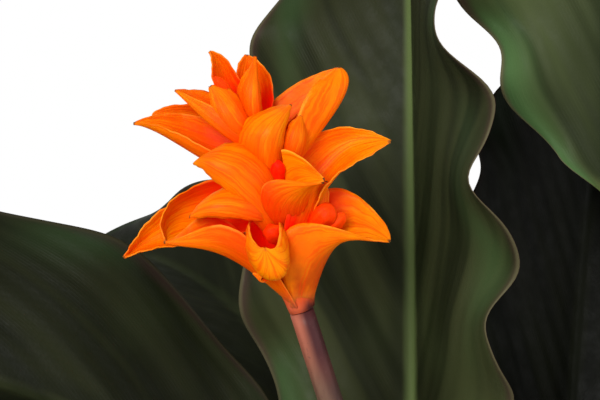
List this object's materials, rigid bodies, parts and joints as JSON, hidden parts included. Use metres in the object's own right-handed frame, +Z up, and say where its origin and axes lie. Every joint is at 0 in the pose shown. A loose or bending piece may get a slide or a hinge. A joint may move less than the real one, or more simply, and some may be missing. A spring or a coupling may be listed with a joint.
{
  "type": "potted calathea",
  "caption": "Potted house plant with wavy dark leaves on slim stalks round one upright stem with an orange head of boat-shaped bracts, in a plain round clay pot filled with soil.",
  "frame": {"origin": "middle of the pot's flat underside", "axes": "+Z up the pot's axis. The flower head leans to -X and stands in front of the tall leaves, towards -Y"},
  "size_m": [0.4088, 0.3738, 0.4763],
  "materials": {
    "clay": "unglazed fired clay, matt and slightly uneven",
    "soil": "loose dark potting soil, matt",
    "leaf": "leaf, satin, dark green above and purple underneath",
    "flower_stem": "stalk, matt, pinkish brown",
    "bract": "waxy petal-like bract, orange, satin"
  },
  "bodies": {
    "root": {"pot": "clay", "soil": "soil", "leaf_center": "leaf", "leaf_tall_right": "leaf", "leaf_back_right": "leaf", "leaf_left": "leaf", "leaf_back_left": "leaf", "leaf_back": "leaf", "leaf_right_back": "leaf", "leaf_far_left": "leaf", "leaf_right": "leaf", "leaf_front_right": "leaf", "leaf_inner_right": "leaf", "leaf_inner_left": "leaf", "leaf_front": "leaf", "leaf_front_left": "leaf", "flower_stem": "flower_stem", "flower_head": "bract"}
  },
  "joints": []
}
